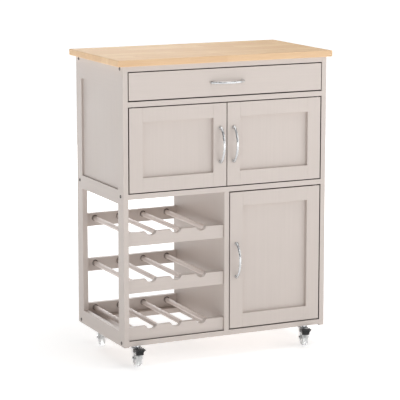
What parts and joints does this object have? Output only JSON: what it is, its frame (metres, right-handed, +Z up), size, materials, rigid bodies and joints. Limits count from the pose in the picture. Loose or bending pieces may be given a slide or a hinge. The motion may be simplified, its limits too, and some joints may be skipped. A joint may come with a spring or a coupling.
{
  "type": "kitchen island cart",
  "caption": "Kitchen cart on castors: painted cabinet with a wooden worktop, a drawer, hinged doors with bow handles and an open bottle rack; the front castors have brake pedals.",
  "frame": {"origin": "on the floor under the middle of the cart's overall box, where the castor wheels stand", "axes": "+X to the right as seen from the front, +Y from the front to the back, +Z up"},
  "size_m": [0.668, 0.39, 0.871],
  "materials": {
    "painted_board": "fibreboard and wood under satin grey-beige paint",
    "worktop_wood": "pale finger-jointed wood with a satin oil finish",
    "hardboard": "thin hardboard, painted on the face",
    "handle_chrome": "satin chrome",
    "castor_zinc": "bright zinc-plated pressed steel",
    "wheel_clear": "clear polycarbonate",
    "brake_black": "black moulded nylon",
    "runner_steel": "white powder-coated rolled steel"
  },
  "bodies": {
    "cart": {"worktop": "worktop_wood", "left_front_post": "painted_board", "left_rear_post": "painted_board", "left_top_rail": "painted_board", "left_middle_rail": "painted_board", "left_bottom_rail": "painted_board", "left_upper_panel": "painted_board", "right_front_post": "painted_board", "right_rear_post": "painted_board", "right_top_rail": "painted_board", "right_middle_rail": "painted_board", "right_bottom_rail": "painted_board", "right_upper_panel": "painted_board", "right_lower_panel": "painted_board", "front_top_rail": "painted_board", "rear_top_rail": "painted_board", "drawer_rail": "painted_board", "cabinet_floor": "painted_board", "centre_partition": "painted_board", "upper_back_panel": "hardboard", "lower_back_panel": "hardboard", "front_bottom_rail": "painted_board", "rear_bottom_rail": "painted_board", "left_base_strip": "painted_board", "cupboard_floor": "painted_board", "cupboard_shelf": "painted_board", "rack_front_board_1": "painted_board", "rack_front_board_2": "painted_board", "rack_front_board_3": "painted_board", "rack_rods_and_rear_board_1": "painted_board", "rack_rods_and_rear_board_2": "painted_board", "rack_rods_and_rear_board_3": "painted_board", "left_drawer_runner": "runner_steel", "right_drawer_runner": "runner_steel"},
    "drawer": {"drawer_front": "painted_board", "drawer_left_side": "painted_board", "drawer_right_side": "painted_board", "drawer_back": "painted_board", "drawer_bottom": "hardboard", "drawer_handle": "handle_chrome"},
    "upper_left_door": {"upper_left_door_frame": "painted_board", "upper_left_door_panel": "painted_board", "upper_left_door_handle": "handle_chrome"},
    "upper_right_door": {"upper_right_door_frame": "painted_board", "upper_right_door_panel": "painted_board", "upper_right_door_handle": "handle_chrome"},
    "lower_door": {"lower_door_frame": "painted_board", "lower_door_panel": "painted_board", "lower_door_handle": "handle_chrome"},
    "front_left_castor": {"front_left_castor_fork": "castor_zinc"},
    "front_left_wheel": {"front_left_castor_wheel": "wheel_clear"},
    "front_left_brake": {"front_left_brake_pedal": "brake_black"},
    "front_right_castor": {"front_right_castor_fork": "castor_zinc"},
    "front_right_wheel": {"front_right_castor_wheel": "wheel_clear"},
    "front_right_brake": {"front_right_brake_pedal": "brake_black"},
    "rear_left_castor": {"rear_left_castor_fork": "castor_zinc"},
    "rear_left_wheel": {"rear_left_castor_wheel": "wheel_clear"},
    "rear_right_castor": {"rear_right_castor_fork": "castor_zinc"},
    "rear_right_wheel": {"rear_right_castor_wheel": "wheel_clear"}
  },
  "joints": [
    {"name": "drawer_slide", "type": "slide", "parent": "cart", "child": "drawer", "axis": [0, -1, 0], "range_m": [0, 0.25]},
    {"name": "upper_left_door_hinge", "type": "hinge", "parent": "cart", "child": "upper_left_door", "pos_m": [-0.28875, -0.1575, 0.62], "axis": [0, 0, -1], "range_deg": [0, 110]},
    {"name": "upper_right_door_hinge", "type": "hinge", "parent": "cart", "child": "upper_right_door", "pos_m": [0.28875, -0.1575, 0.62], "axis": [0, 0, 1], "range_deg": [0, 110]},
    {"name": "lower_door_hinge", "type": "hinge", "parent": "cart", "child": "lower_door", "pos_m": [0.28875, -0.1575, 0.28], "axis": [0, 0, 1], "range_deg": [0, 110]},
    {"name": "front_left_swivel", "type": "hinge", "parent": "cart", "child": "front_left_castor", "pos_m": [-0.268, -0.127, 0.055], "axis": [0, 0, 1], "continuous": true},
    {"name": "front_left_roll", "type": "hinge", "parent": "front_left_castor", "child": "front_left_wheel", "pos_m": [-0.27113, -0.14675, 0.025], "axis": [0.9877, -0.1564, 0], "continuous": true},
    {"name": "front_left_brake_press", "type": "hinge", "parent": "front_left_castor", "child": "front_left_brake", "pos_m": [-0.27332, -0.16058, 0.0505], "axis": [0.9877, -0.1564, 0], "range_deg": [0, 12]},
    {"name": "front_right_swivel", "type": "hinge", "parent": "cart", "child": "front_right_castor", "pos_m": [0.268, -0.127, 0.055], "axis": [0, 0, 1], "continuous": true},
    {"name": "front_right_roll", "type": "hinge", "parent": "front_right_castor", "child": "front_right_wheel", "pos_m": [0.26249, -0.14622, 0.025], "axis": [0.9613, -0.2756, 0], "continuous": true},
    {"name": "front_right_brake_press", "type": "hinge", "parent": "front_right_castor", "child": "front_right_brake", "pos_m": [0.25863, -0.15968, 0.0505], "axis": [0.9613, -0.2756, 0], "range_deg": [0, 12]},
    {"name": "rear_left_swivel", "type": "hinge", "parent": "cart", "child": "rear_left_castor", "pos_m": [-0.268, 0.128, 0.055], "axis": [0, 0, 1], "continuous": true},
    {"name": "rear_left_roll", "type": "hinge", "parent": "rear_left_castor", "child": "rear_left_wheel", "pos_m": [-0.27418, 0.10898, 0.025], "axis": [0.9511, -0.309, 0], "continuous": true},
    {"name": "rear_right_swivel", "type": "hinge", "parent": "cart", "child": "rear_right_castor", "pos_m": [0.268, 0.128, 0.055], "axis": [0, 0, 1], "continuous": true},
    {"name": "rear_right_roll", "type": "hinge", "parent": "rear_right_castor", "child": "rear_right_wheel", "pos_m": [0.26384, 0.10844, 0.025], "axis": [0.9781, -0.2079, 0], "continuous": true}
  ]
}
